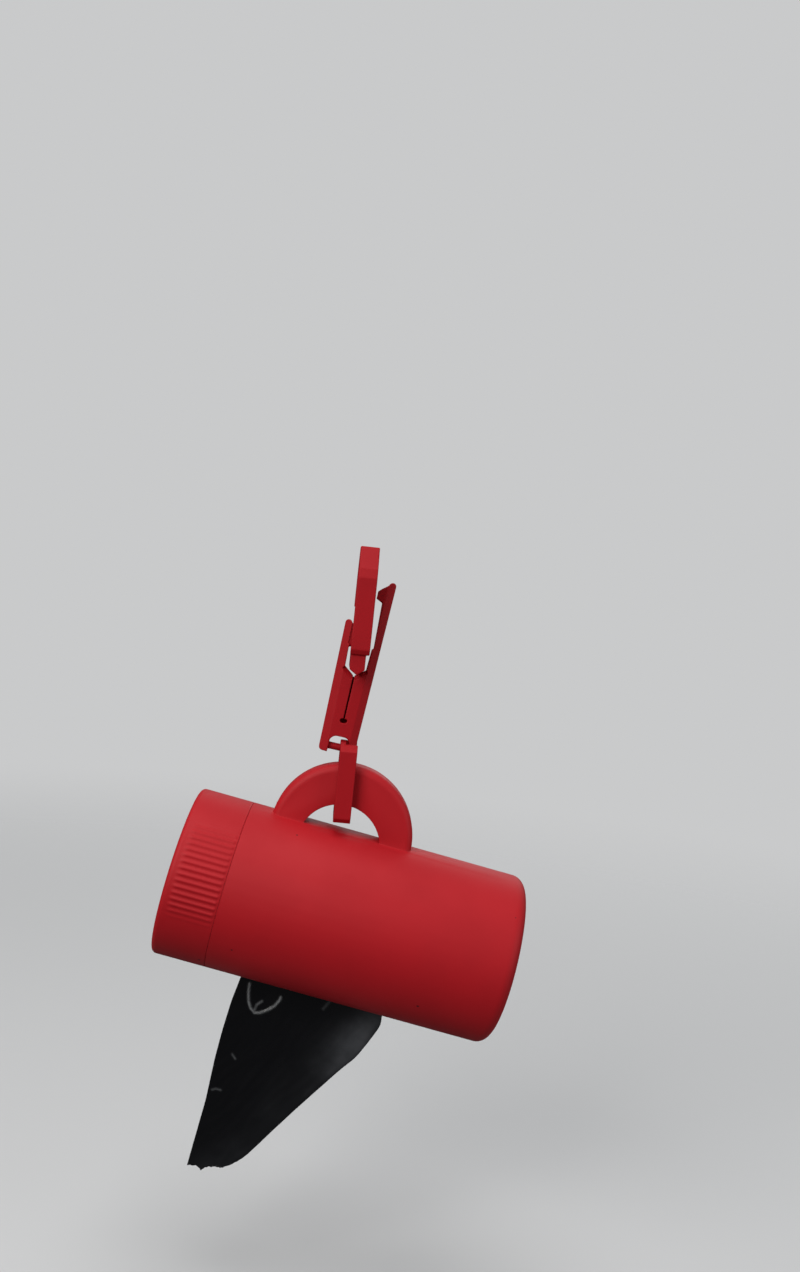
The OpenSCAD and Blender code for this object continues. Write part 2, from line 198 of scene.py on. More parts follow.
# Studio light. A large soft lamp at the upper left in front, as on the photographed barrel, a
# second one overhead, weak ones at the right and behind, and a surround that is lighter above.
surround_seen = (0.585, 0.59, 0.595, 1)
surround_light = (0.95, 0.975, 1.0, 1)
surround_low = 0.05
surround_high = 0.34
surround_rise = (-0.35, 0.9)
lamps = (
    # name, place in metres, size in metres, watts, colour
    ("main_lamp", (-0.40, -0.60, 0.30), 0.42, 3.9, (1, 0.985, 0.96)),
    ("top_lamp", (-0.06, -0.16, 0.70), 0.45, 2.4, (1, 0.99, 0.98)),
    ("right_lamp", (0.75, -0.35, 0.10), 0.5, 1.5, (0.97, 0.99, 1)),
    ("back_lamp", (0.25, 0.75, 0.35), 0.6, 1.6, (1, 1, 1)),
)
lamp_aim = Vector((0, 0, -0.09))
for name, place, size, watts, colour in lamps:
    lamp = bpy.data.objects.new(name, bpy.data.lights.new(name, "AREA"))
    lamp.data.size = size
    lamp.data.energy = watts
    lamp.data.color = colour
    lamp.location = place
    lamp.rotation_euler = (lamp_aim - Vector(place)).to_track_quat("-Z", "Y").to_euler()
    scene.collection.objects.link(lamp)
world = bpy.data.worlds.new("studio")
world.use_nodes = True
world_tree = world.node_tree
world_light = world_tree.nodes["Background"]
world_light.inputs["Color"].default_value = surround_light
world_up = world_tree.nodes.new("ShaderNodeSeparateXYZ")
world_tree.links.new(
    world_tree.nodes.new("ShaderNodeTexCoord").outputs["Generated"], world_up.inputs[0]
)
world_tree.links.new(
    ramp_node(world_tree, world_up.outputs["Z"], *surround_rise, surround_low, surround_high),
    world_light.inputs["Strength"],
)
world_seen = world_tree.nodes.new("ShaderNodeBackground")
world_seen.inputs["Color"].default_value = surround_seen
world_mix = world_tree.nodes.new("ShaderNodeMixShader")
world_tree.links.new(
    world_tree.nodes.new("ShaderNodeLightPath").outputs["Is Camera Ray"], world_mix.inputs[0]
)
world_tree.links.new(world_light.outputs[0], world_mix.inputs[1])
world_tree.links.new(world_seen.outputs[0], world_mix.inputs[2])
world_tree.links.new(world_mix.outputs[0], world_tree.nodes["World Output"].inputs["Surface"])
scene.world = world


# Leash hook. The top piece of the clip, injection moulded in red plastic: a faceted crown, a front
# bar, a nose at the back, and the keeled arm that carries the fork. Its edges are rounded a little
# by the mould, and its skin has the fine dull grain that all the red pieces share.
def node_group(name, inputs, outputs):
    """An empty shader group with float inputs (name, value) and outputs (name, type)."""
    group = bpy.data.node_groups.new(name, "ShaderNodeTree")
    for label, value in inputs:
        socket = group.interface.new_socket(label, in_out="INPUT", socket_type="NodeSocketFloat")
        socket.default_value = value
    for label, kind in outputs:
        group.interface.new_socket(label, in_out="OUTPUT", socket_type=kind)
    return group, group.nodes.new("NodeGroupInput"), group.nodes.new("NodeGroupOutput")


def scale_for(tree, size, share=1.0):
    """Texture scale for details of a size in mm, which is a socket; a share below 1 coarsens it."""
    mm_in_metre = 1000
    return math_node(tree, "DIVIDE", mm_in_metre * share, size)


def make_mould_grain():
    """Skin of a spark-eroded mould: fine pits, and a mask of soft, more handled patches."""
    group, given, out = node_group(
        "mould_grain",
        [("Grain Size", 0.35), ("Patch Size", 6.0)],
        [("Height", "NodeSocketFloat"), ("Patches", "NodeSocketFloat")],
    )
    place = group.nodes.new("ShaderNodeTexCoord").outputs["Object"]
    pits = group.nodes.new("ShaderNodeTexNoise")
    pits.inputs["Detail"].default_value = 3
    pits.inputs["Roughness"].default_value = 0.65
    group.links.new(place, pits.inputs["Vector"])
    group.links.new(scale_for(group, given.outputs["Grain Size"]), pits.inputs["Scale"])
    cells = group.nodes.new("ShaderNodeTexVoronoi")
    cells.feature = "SMOOTH_F1"
    group.links.new(place, cells.inputs["Vector"])
    group.links.new(scale_for(group, given.outputs["Grain Size"], 0.7), cells.inputs["Scale"])
    group.links.new(
        math_node(
            group, "MULTIPLY_ADD", cells.outputs["Distance"], 0.5, pits.outputs["Fac"]
        ),
        out.inputs["Height"],
    )
    patches = group.nodes.new("ShaderNodeTexNoise")
    patches.inputs["Detail"].default_value = 4
    group.links.new(place, patches.inputs["Vector"])
    group.links.new(scale_for(group, given.outputs["Patch Size"]), patches.inputs["Scale"])
    group.links.new(ramp_node(group, patches.outputs["Fac"], 0.3, 0.72), out.inputs["Patches"])
    return group


def make_edge_wear_and_sheen():
    """Mask of scuffed edges with a painted highlight: 1 on an edge, 0 on the flats, broken up by
    noise.
    """
    group, given, out = node_group(
        "edge_wear_and_sheen", [("Width", 0.0004)], [("Mask", "NodeSocketFloat")]
    )
    # The mask paints edges a lighter red: partly scuffing, partly a painted highlight.
    rounded = group.nodes.new("ShaderNodeBevel")
    rounded.samples = 6
    group.links.new(given.outputs["Width"], rounded.inputs["Radius"])
    flat = group.nodes.new("ShaderNodeNewGeometry")
    dot = group.nodes.new("ShaderNodeVectorMath")
    dot.operation = "DOT_PRODUCT"
    group.links.new(rounded.outputs["Normal"], dot.inputs[0])
    group.links.new(flat.outputs["Normal"], dot.inputs[1])
    turned = math_node(group, "SUBTRACT", 1, dot.outputs["Value"])
    place = group.nodes.new("ShaderNodeTexCoord").outputs["Object"]
    broken = group.nodes.new("ShaderNodeTexNoise")
    broken.inputs["Scale"].default_value = 420
    broken.inputs["Detail"].default_value = 3
    group.links.new(place, broken.inputs["Vector"])
    worn_and_lit = math_node(group, "MULTIPLY", ramp_node(group, turned, 0.01, 0.16), broken.outputs["Fac"])
    group.links.new(worn_and_lit, out.inputs["Mask"])
    return group


def make_specks():
    """Tiny dark specks in the plastic: most cells of a coarse lattice hold one inside them."""
    group, given, out = node_group(
        "specks", [("Spacing", 4.0), ("Speck Size", 0.06)], [("Mask", "NodeSocketFloat")]
    )
    place = group.nodes.new("ShaderNodeTexCoord").outputs["Object"]
    cells = group.nodes.new("ShaderNodeTexVoronoi")
    group.links.new(place, cells.inputs["Vector"])
    group.links.new(scale_for(group, given.outputs["Spacing"]), cells.inputs["Scale"])
    chance = group.nodes.new("ShaderNodeSeparateColor")
    group.links.new(cells.outputs["Color"], chance.inputs[0])
    share_left_clean = 0.2
    chosen = math_node(group, "GREATER_THAN", chance.outputs["Red"], share_left_clean)
    size = math_node(group, "MULTIPLY", given.outputs["Speck Size"], chance.outputs["Green"])
    inside = math_node(group, "LESS_THAN", cells.outputs["Distance"], size)
    group.links.new(math_node(group, "MULTIPLY", chosen, inside), out.inputs["Mask"])
    return group


mould_grain = make_mould_grain()
edge_wear_and_sheen = make_edge_wear_and_sheen()
specks = make_specks()


def place_group(tree, group, **values):
    """Puts a group into a material's tree with its own values."""
    node = tree.nodes.new("ShaderNodeGroup")
    node.node_tree = group
    for label, value in values.items():
        node.inputs[label.replace("_", " ")].default_value = value
    return node


def red_plastic(name, grain_size, wear_and_sheen, speck_size, depth=1.0, gloss=0.26):
    """Dull red moulded plastic with grain, scuffed edges with a painted highlight, handled patches
    and dark specks.

    A depth below 1 darkens the colour, and gloss is the specular level.
    """
    material = bpy.data.materials.new(name)
    material.use_nodes = True
    tree = material.node_tree
    shader = tree.nodes["Principled BSDF"]
    grain = place_group(tree, mould_grain, Grain_Size=grain_size, Patch_Size=16.0)
    worn_and_lit_edges = place_group(tree, edge_wear_and_sheen, Width=0.3 * MM)
    dots = place_group(tree, specks, Spacing=4.5, Speck_Size=speck_size)
    fresh = (0.455 * depth, 0.0070 * depth, 0.0130 * depth, 1)
    handled = (0.420 * depth, 0.0062 * depth, 0.0118 * depth, 1)
    # Edges are painted this lighter red, partly as scuffing and partly as a painted highlight.
    worn_and_lit_red = (0.64, 0.045, 0.055, 1)
    dark = (0.07, 0.004, 0.006, 1)
    skin = mix_colour(tree, grain.outputs["Patches"], fresh, handled)
    edge = math_node(tree, "MULTIPLY", worn_and_lit_edges.outputs["Mask"], wear_and_sheen)
    skin = mix_colour(tree, edge, skin, worn_and_lit_red)
    skin = mix_colour(tree, dots.outputs["Mask"], skin, dark)
    tree.links.new(skin, shader.inputs["Base Color"])
    dullness, duller_patch, smoother_edge = 0.56, 0.07, -0.12
    rough = math_node(
        tree, "MULTIPLY_ADD", grain.outputs["Patches"], duller_patch, dullness
    )
    rough = math_node(tree, "MULTIPLY_ADD", edge, smoother_edge, rough)
    tree.links.new(rough, shader.inputs["Roughness"])
    shader.inputs["Specular IOR Level"].default_value = gloss
    bump = tree.nodes.new("ShaderNodeBump")
    bump.inputs["Strength"].default_value = 0.3
    bump.inputs["Distance"].default_value = 0.02 * MM
    tree.links.new(grain.outputs["Height"], bump.inputs["Height"])
    tree.links.new(bump.outputs["Normal"], shader.inputs["Normal"])
    return material


touching = 1e-6


def merged_copy(node):
    """The CAD solid's own triangles, merged, as a bmesh and the mesh it goes back into."""
    mesh = frame["nodes"][node].data.copy()
    shape = bmesh.new()
    shape.from_mesh(mesh)
    bmesh.ops.remove_doubles(shape, verts=shape.verts, dist=touching)
    return shape, mesh


def new_piece(name, mesh):
    """An object at the origin, in the scene."""
    piece = bpy.data.objects.new(name, mesh)
    scene.collection.objects.link(piece)
    return piece


def baked(piece):
    """Makes a piece a plain mesh of what its modifiers give, without them."""
    graph = bpy.context.evaluated_depsgraph_get()
    mesh = bpy.data.meshes.new_from_object(piece.evaluated_get(graph))
    piece.modifiers.clear()
    piece.data = mesh
    return mesh


def finish_moulding(piece, node, material):
    """Gives a moulded piece its plastic and puts it in the CAD solid's place."""
    piece.data.materials.clear()
    piece.data.materials.append(material)
    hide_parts(node)
    return piece


def moulded(node, material, grid, eased):
    """A rigid CAD solid meshed anew on a fine grid and eased, which rounds its moulded edges."""
    shape, mesh = merged_copy(node)
    shape.to_mesh(mesh)
    shape.free()
    piece = new_piece(node + "_moulded", mesh)
    skin = piece.modifiers.new("skin", "REMESH")
    skin.mode = "VOXEL"
    skin.voxel_size = grid
    easing = piece.modifiers.new("easing", "SMOOTH")
    easing.factor = 0.5
    easing.iterations = eased
    baked(piece).shade_smooth()
    return finish_moulding(piece, node, material)


clip_plastic = red_plastic(
    "clip_plastic", grain_size=0.3, wear_and_sheen=0.5, speck_size=0.035, depth=0.84, gloss=0.17
)
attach(moulded("leash_hook", clip_plastic, grid=0.16 * MM, eased=7), "leash_hook")

# Tongue of the hook. On the real hook it is one with the arm and springs shut against the nose.
# It is moulded with the hook in the same red plastic.
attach(moulded("hook_gate", clip_plastic, grid=0.11 * MM, eased=3), "hook_gate")

# Snap fork. A flat moulding that hangs on the hook's arm, with two uneven prongs, a spring slit
# that ends in a small relief hole, and the lower bar that the link hangs on.
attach(moulded("snap_fork", clip_plastic, grid=0.14 * MM, eased=4), "snap_fork")

# Link. A sprung loop with faceted ends. Its narrow neck sits in the fork's window, and a slanted
# split in its back bar lets it open.
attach(moulded("link", clip_plastic, grid=0.14 * MM, eased=5), "link")

# Housing. Barrel, closed end, collar, bag slot and arch in one moulding, with a thread on the
# collar; the thread stands less than a quarter of a millimetre proud, to stay within its fit.
barrel_plastic = red_plastic("barrel_plastic", grain_size=0.42, wear_and_sheen=0.4, speck_size=0.08)
sharp_from = math.radians(15)
flat_within = math.radians(0.5)
sliver = 0.04 * MM
room_used = 0.42


def room_beside(edge):
    """The shortest edge that leaves this one sideways: what its rounding has to stay within."""
    along = (edge.verts[1].co - edge.verts[0].co).normalized()
    nearly_in_line = 0.9
    room = 1.0
    for vert in edge.verts:
        for other in vert.link_edges:
            away = other.other_vert(vert).co - vert.co
            length = away.length
            if other is edge or length == 0 or abs(away.dot(along)) > nearly_in_line * length:
                continue
            room = min(room, length)
    return room


def softened(node, material, rounding):
    """A rigid CAD solid with a narrow bevel on its sharp edges, as wide as their room allows."""
    shape, mesh = merged_copy(node)
    bmesh.ops.dissolve_limit(
        shape, angle_limit=flat_within, verts=shape.verts, edges=shape.edges
    )
    bmesh.ops.remove_doubles(shape, verts=shape.verts, dist=sliver)
    bmesh.ops.dissolve_degenerate(shape, edges=shape.edges, dist=touching)
    bmesh.ops.recalc_face_normals(shape, faces=shape.faces)
    share = shape.edges.layers.float.new("bevel_weight_edge")
    for edge in shape.edges:
        edge.smooth = True
        if len(edge.link_faces) == 2 and edge.calc_face_angle() > sharp_from:
            edge[share] = min(1.0, room_used * room_beside(edge) / rounding)
    for face in shape.faces:
        face.smooth = True
    shape.to_mesh(mesh)
    shape.free()
    piece = new_piece(node + "_moulded", mesh)
    bevel = piece.modifiers.new("rounding", "BEVEL")
    bevel.width = rounding
    bevel.segments = 3
    bevel.limit_method = "WEIGHT"
    bevel.use_clamp_overlap = False
    bevel.harden_normals = True
    bevel.miter_outer = "MITER_ARC"
    baked(piece)
    return finish_moulding(piece, node, material)


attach(softened("housing", barrel_plastic, rounding=0.18 * MM), "housing")

joint = {j["name"]: j for j in frame["joints"]}
barrel_axis = -Vector(joint["cap_off"]["axis"]).normalized()
barrel_up = Vector((-barrel_axis.z, 0, barrel_axis.x))
barrel_back = Vector((0, 1, 0))
arch_centre = Vector(joint["barrel_swing"]["pos_m"])
arch_from_cap = 38.9 * MM
arch_over_axis = 18.1 * MM
cap_centre = arch_centre - barrel_axis * arch_from_cap - barrel_up * arch_over_axis


def in_barrel(along, back, up):
    """A place in the barrel's own frame, in millimetres from the centre of the cap's face."""
    return cap_centre + (barrel_axis * along + barrel_back * back + barrel_up * up) * MM


def along_barrel(along, up):
    """Matrix that takes a shape built round Z to the barrel: Z along its axis, X downwards."""
    turn = Matrix((-barrel_up, barrel_back, barrel_axis)).transposed()
    return Matrix.Translation(in_barrel(along, 0, up)) @ turn.to_4x4()


def geometry_tree(name, sizes, from_mesh=False):
    """A Geometry Nodes tree with named float inputs; returns it, its sockets' identifiers,
    the group's input and a function that ends it in Realize Instances and Set Material."""
    tree = bpy.data.node_groups.new(name, "GeometryNodeTree")
    if from_mesh:
        tree.interface.new_socket("Geometry", in_out="INPUT", socket_type="NodeSocketGeometry")
    ids = {}
    for label, value in sizes.items():
        socket = tree.interface.new_socket(label, in_out="INPUT", socket_type="NodeSocketFloat")
        socket.default_value = value
        ids[label] = socket.identifier
    tree.interface.new_socket("Geometry", in_out="OUTPUT", socket_type="NodeSocketGeometry")
    given, out = tree.nodes.new("NodeGroupInput"), tree.nodes.new("NodeGroupOutput")

    def end(geometry, material):
        real = tree.nodes.new("GeometryNodeRealizeInstances")
        tree.links.new(geometry, real.inputs[0])
        finish = tree.nodes.new("GeometryNodeSetMaterial")
        finish.inputs["Material"].default_value = material
        tree.links.new(real.outputs[0], finish.inputs[0])
        tree.links.new(finish.outputs[0], out.inputs[0])

    return tree, ids, given, end


def mesh_from_nodes(name, tree, ids, values, start=None):
    """Runs a Geometry Nodes tree on a mesh, or on none, and keeps the plain mesh as a piece."""
    piece = new_piece(name, start or bpy.data.meshes.new(name))
    modifier = piece.modifiers.new("nodes", "NODES")
    modifier.node_group = tree
    for label, value in values.items():
        modifier[ids[label]] = float(value)
    baked(piece)
    return piece


def thread_turns(sizes, material):
    """Geometry Nodes tree: a low ridge that winds round Z and tapers out at both ends."""
    tree, ids, given, end = geometry_tree("thread_turns", sizes)
    spiral = tree.nodes.new("GeometryNodeCurveSpiral")
    spiral.inputs["Resolution"].default_value = 96
    tree.links.new(given.outputs["Turns"], spiral.inputs["Rotations"])
    tree.links.new(given.outputs["Radius"], spiral.inputs["Start Radius"])
    tree.links.new(given.outputs["Radius"], spiral.inputs["End Radius"])
    tree.links.new(given.outputs["Rise"], spiral.inputs["Height"])
    level = tree.nodes.new("GeometryNodeSetCurveNormal")
    level.mode = "Z_UP"
    tree.links.new(spiral.outputs[0], level.inputs["Curve"])
    way = tree.nodes.new("GeometryNodeSplineParameter").outputs["Factor"]
    taper_share, thinnest = 0.08, 0.02
    start_taper = ramp_node(tree, way, 0.0, taper_share, thinnest, 1.0)
    end_taper = ramp_node(tree, way, 1.0 - taper_share, 1.0, 1.0, thinnest)
    taper = tree.nodes.new("GeometryNodeSetCurveRadius")
    tree.links.new(level.outputs[0], taper.inputs["Curve"])
    tree.links.new(
        math_node(tree, "MULTIPLY", start_taper, end_taper), taper.inputs["Radius"]
    )
    ridge = tree.nodes.new("GeometryNodeCurvePrimitiveCircle")
    ridge.inputs["Resolution"].default_value = 14
    ridge.inputs["Radius"].default_value = 1.0
    flat = tree.nodes.new("GeometryNodeTransform")
    tree.links.new(ridge.outputs[0], flat.inputs["Geometry"])
    size = tree.nodes.new("ShaderNodeCombineXYZ")
    tree.links.new(given.outputs["Ridge Height"], size.inputs["X"])
    tree.links.new(
        math_node(tree, "MULTIPLY", given.outputs["Ridge Width"], 0.5), size.inputs["Y"]
    )
    size.inputs["Z"].default_value = 1
    tree.links.new(size.outputs[0], flat.inputs["Scale"])
    wound = tree.nodes.new("GeometryNodeCurveToMesh")
    wound.inputs["Fill Caps"].default_value = True
    tree.links.new(taper.outputs[0], wound.inputs["Curve"])
    tree.links.new(flat.outputs[0], wound.inputs["Profile Curve"])
    end(wound.outputs[0], material)
    return tree, ids


collar_thread_from = 4.6
collar_thread_sizes = {
    "Radius": 20.6 * MM, "Turns": 2.1, "Rise": 6.8 * MM, "Ridge Height": 0.22 * MM,
    "Ridge Width": 1.1 * MM,
}
thread_tree, thread_ids = thread_turns(collar_thread_sizes, barrel_plastic)
collar_thread = mesh_from_nodes("collar_thread", thread_tree, thread_ids, collar_thread_sizes)
collar_thread.data.transform(along_barrel(collar_thread_from, 0))
collar_thread.data.shade_smooth()
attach(collar_thread, "housing")

# Screw cap. A turned shape: face, rounded rim, thin skirt with a thread inside. Two patches of
# fine grip ribs stand on the skirt, half a turn apart, and fade out at their ends.
cap_plastic = red_plastic("cap_plastic", grain_size=0.42, wear_and_sheen=0.4, speck_size=0.08)
cap_r = 22.0
cap_bore_r = 20.9
cap_l = 14.25
cap_face = 2.2
cap_round = 1.2
cap_edge = 0.06
cap_around = 1080
cap_thread_from = 6.3
inner_round = 0.6
middle_r = 0.01
face_rows = (middle_r, 6, 13, 18, cap_r - cap_round - 0.4)
# These rows stand closer where the ribs begin and end.
skirt_rows = (1.45, 1.7, 2.0, 2.3, 2.6, 2.9, 3.2, 3.5, 3.8, 5.5, 8, 10.5, 12.5, 13.2, 13.45, 13.7,
              13.85)
rib_sizes = {
    "Skirt Radius": cap_r * MM, "Rib Pitch": 4.1, "Half Patch": 37.0, "Patch Turn": 17.0,
    "Rib Height": 0.25 * MM, "Rib Start": 1.7 * MM, "Rib End": 13.85 * MM,
}


def cap_profile():
    """Outline of the cap from the middle of its face, round the skirt, to the middle inside."""
    points = [(0, radius) for radius in face_rows]
    for k in range(9):
        turn = math.radians(90) * k / 8
        points.append(
            (cap_round - cap_round * math.cos(turn), cap_r - cap_round + cap_round * math.sin(turn))
        )
    points += [(along, cap_r) for along in skirt_rows]
    points += [(cap_l - cap_edge, cap_r), (cap_l - cap_edge * 0.3, cap_r - cap_edge * 0.3)]
    points += [(cap_l, cap_r - cap_edge), (cap_l, cap_bore_r + 0.15), (cap_l - 0.15, cap_bore_r)]
    points += [(8.5, cap_bore_r)]
    for k in range(5):
        turn = math.radians(90) * k / 4
        points.append(
            (cap_face + inner_round - inner_round * math.sin(turn),
             cap_bore_r - inner_round + inner_round * math.cos(turn))
        )
    points += [(cap_face, 12), (cap_face, middle_r)]
    return [(along * MM, radius * MM) for along, radius in points]


def grip_ribs(sizes, material):
    """Geometry Nodes tree: raises ribs on the skirt of a cap that is turned round Z."""
    crest_power = 1.25
    patch_fade, start_fade, end_fade = 15.0, 1.6 * MM, 0.35 * MM
    tree, ids, given, end = geometry_tree("grip_ribs", sizes, from_mesh=True)
    place = tree.nodes.new("GeometryNodeInputPosition").outputs[0]
    axes = tree.nodes.new("ShaderNodeSeparateXYZ")
    tree.links.new(place, axes.inputs[0])
    radial = tree.nodes.new("ShaderNodeCombineXYZ")
    tree.links.new(axes.outputs["X"], radial.inputs["X"])
    tree.links.new(axes.outputs["Y"], radial.inputs["Y"])
    outward = tree.nodes.new("ShaderNodeVectorMath")
    outward.operation = "NORMALIZE"
    tree.links.new(radial.outputs[0], outward.inputs[0])
    radius = tree.nodes.new("ShaderNodeVectorMath")
    radius.operation = "LENGTH"
    tree.links.new(radial.outputs[0], radius.inputs[0])
    turn = math_node(
        tree, "ARCTAN2",
        math_node(tree, "MULTIPLY", axes.outputs["X"], -1),
        math_node(tree, "MULTIPLY", axes.outputs["Y"], -1),
    )
    degrees = math_node(tree, "MULTIPLY", turn, 180 / math.pi)
    from_middle = math_node(
        tree, "WRAP", math_node(tree, "SUBTRACT", degrees, given.outputs["Patch Turn"]), 90, -90
    )
    wave = math_node(
        tree, "COSINE",
        math_node(
            tree, "MULTIPLY",
            math_node(tree, "DIVIDE", from_middle, given.outputs["Rib Pitch"]), 2 * math.pi,
        ),
    )
    rib = math_node(
        tree, "POWER", math_node(tree, "MULTIPLY_ADD", wave, 0.5, 0.5), crest_power
    )
    past = math_node(
        tree, "SUBTRACT", math_node(tree, "ABSOLUTE", from_middle), given.outputs["Half Patch"]
    )
    patch = ramp_node(tree, past, -patch_fade, 0.0, 1.0, 0.0)
    from_start = math_node(tree, "SUBTRACT", axes.outputs["Z"], given.outputs["Rib Start"])
    to_end = math_node(tree, "SUBTRACT", given.outputs["Rib End"], axes.outputs["Z"])
    length = math_node(
        tree, "MULTIPLY",
        ramp_node(tree, from_start, 0.0, start_fade), ramp_node(tree, to_end, 0.0, end_fade),
    )
    on_skirt = ramp_node(
        tree, math_node(tree, "SUBTRACT", radius.outputs["Value"], given.outputs["Skirt Radius"]),
        -0.3 * MM, -0.1 * MM,
    )
    height = math_node(tree, "MULTIPLY", rib, patch)
    height = math_node(tree, "MULTIPLY", height, length)
    height = math_node(tree, "MULTIPLY", height, on_skirt)
    height = math_node(tree, "MULTIPLY", height, given.outputs["Rib Height"])
    offset = tree.nodes.new("ShaderNodeVectorMath")
    offset.operation = "SCALE"
    tree.links.new(outward.outputs[0], offset.inputs[0])
    tree.links.new(height, offset.inputs["Scale"])
    raised = tree.nodes.new("GeometryNodeSetPosition")
    tree.links.new(given.outputs["Geometry"], raised.inputs["Geometry"])
    tree.links.new(offset.outputs[0], raised.inputs["Offset"])
    end(raised.outputs[0], material)
    return tree, ids


cap_mesh = turned_mesh("cap_shell", cap_profile(), cap_around)
cap_shape = bmesh.new()
cap_shape.from_mesh(cap_mesh)
bmesh.ops.remove_doubles(cap_shape, verts=cap_shape.verts, dist=0.012 * MM)
bmesh.ops.holes_fill(cap_shape, edges=[e for e in cap_shape.edges if e.is_boundary])
bmesh.ops.recalc_face_normals(cap_shape, faces=cap_shape.faces)
cap_shape.to_mesh(cap_mesh)
cap_shape.free()
rib_tree, rib_ids = grip_ribs(rib_sizes, cap_plastic)
cap = mesh_from_nodes("ribbed_cap", rib_tree, rib_ids, rib_sizes, cap_mesh)
cap.data.transform(along_barrel(0, 0))
cap.data.shade_smooth()
cap.data.set_sharp_from_angle(angle=math.radians(50))
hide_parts("screw_cap")
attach(cap, "screw_cap")
cap_thread = mesh_from_nodes(
    "cap_thread", thread_tree, thread_ids,
    {**collar_thread_sizes, "Radius": cap_bore_r * MM, "Turns": 2.0, "Rise": 6.5 * MM},
)
cap_thread.data.transform(along_barrel(cap_thread_from, 0))
cap_thread.data.shade_smooth()
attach(cap_thread, "screw_cap")


# Roll of bags. Thin black film, folded to a strip and wound on a paper core; the turns don't
# line up exactly, so the ends of the roll step in and out a little.
flat_map_size = 0.1


def film_material(name, dark, haze_and_sheen_grey, flat_map=None, sheen=None, whitening_and_highlight=None):
    """Near-black polythene film: finely crinkled, greyer in clouded patches and painted sheen,
    paler at creases.
    """
    material = bpy.data.materials.new(name)
    material.use_nodes = True
    tree = material.node_tree
    shader = tree.nodes["Principled BSDF"]
    # Creases are painted this light grey, as stress whitening and as a painted highlight on their
    # ridges.
    whitening_and_highlight_grey = (0.30, 0.31, 0.32, 1)
    dullness, duller_in_haze_and_sheen = 0.27, 0.22
    place = tree.nodes.new("ShaderNodeTexCoord").outputs["Object"]
    if flat_map:
        flat = tree.nodes.new("ShaderNodeUVMap")
        flat.uv_map = flat_map
        in_metres = tree.nodes.new("ShaderNodeVectorMath")
        in_metres.operation = "SCALE"
        in_metres.inputs["Scale"].default_value = flat_map_size
        tree.links.new(flat.outputs[0], in_metres.inputs[0])
        place = in_metres.outputs[0]
    crinkle = tree.nodes.new("ShaderNodeTexNoise")
    crinkle.inputs["Scale"].default_value = 150
    crinkle.inputs["Detail"].default_value = 5
    crinkle.inputs["Roughness"].default_value = 0.55
    crinkle.inputs["Distortion"].default_value = 0.8
    tree.links.new(place, crinkle.inputs["Vector"])
    clouds = tree.nodes.new("ShaderNodeTexNoise")
    clouds.inputs["Scale"].default_value = 60
    clouds.inputs["Detail"].default_value = 4
    tree.links.new(place, clouds.inputs["Vector"])
    haze_and_sheen = ramp_node(tree, clouds.outputs["Fac"], 0.38, 0.72)
    # On the hanging film this grey is a painted sheen, held to the fold by the sheen attribute.
    if sheen:
        seen = tree.nodes.new("ShaderNodeAttribute")
        seen.attribute_name = sheen
        haze_and_sheen = math_node(
            tree, "MULTIPLY", seen.outputs["Fac"],
            math_node(tree, "MULTIPLY_ADD", haze_and_sheen, 0.7, 0.3),
        )
    skin = mix_colour(tree, haze_and_sheen, dark, haze_and_sheen_grey)
    if whitening_and_highlight:
        creased = tree.nodes.new("ShaderNodeAttribute")
        creased.attribute_name = whitening_and_highlight
        broken = ramp_node(tree, crinkle.outputs["Fac"], 0.35, 0.6, 0.35, 1.0)
        whitening_and_highlight_mask = math_node(tree, "MULTIPLY", creased.outputs["Fac"], broken)
        skin = mix_colour(tree, whitening_and_highlight_mask, skin, whitening_and_highlight_grey)
    tree.links.new(skin, shader.inputs["Base Color"])
    tree.links.new(
        math_node(tree, "MULTIPLY_ADD", haze_and_sheen, duller_in_haze_and_sheen, dullness), shader.inputs["Roughness"]
    )
    shader.inputs["Specular IOR Level"].default_value = 0.24
    bump = tree.nodes.new("ShaderNodeBump")
    bump.inputs["Strength"].default_value = 0.3
    bump.inputs["Distance"].default_value = 0.12 * MM
    tree.links.new(crinkle.outputs["Fac"], bump.inputs["Height"])
    tree.links.new(bump.outputs["Normal"], shader.inputs["Normal"])
    return material


roll_middle = 40.5
roll_under_axis = 2.7
roll_sizes = {
    "Turns": 22, "Inner Radius": 6.75 * MM, "Outer Radius": 16.3 * MM, "Strip Width": 61 * MM,
    "Strip Thickness": 0.36 * MM, "Unevenness": 0.6 * MM,
}
film_black = (0.0024, 0.0025, 0.0034, 1)
rolled_film = film_material("rolled_film", film_black, (0.016, 0.017, 0.021, 1))


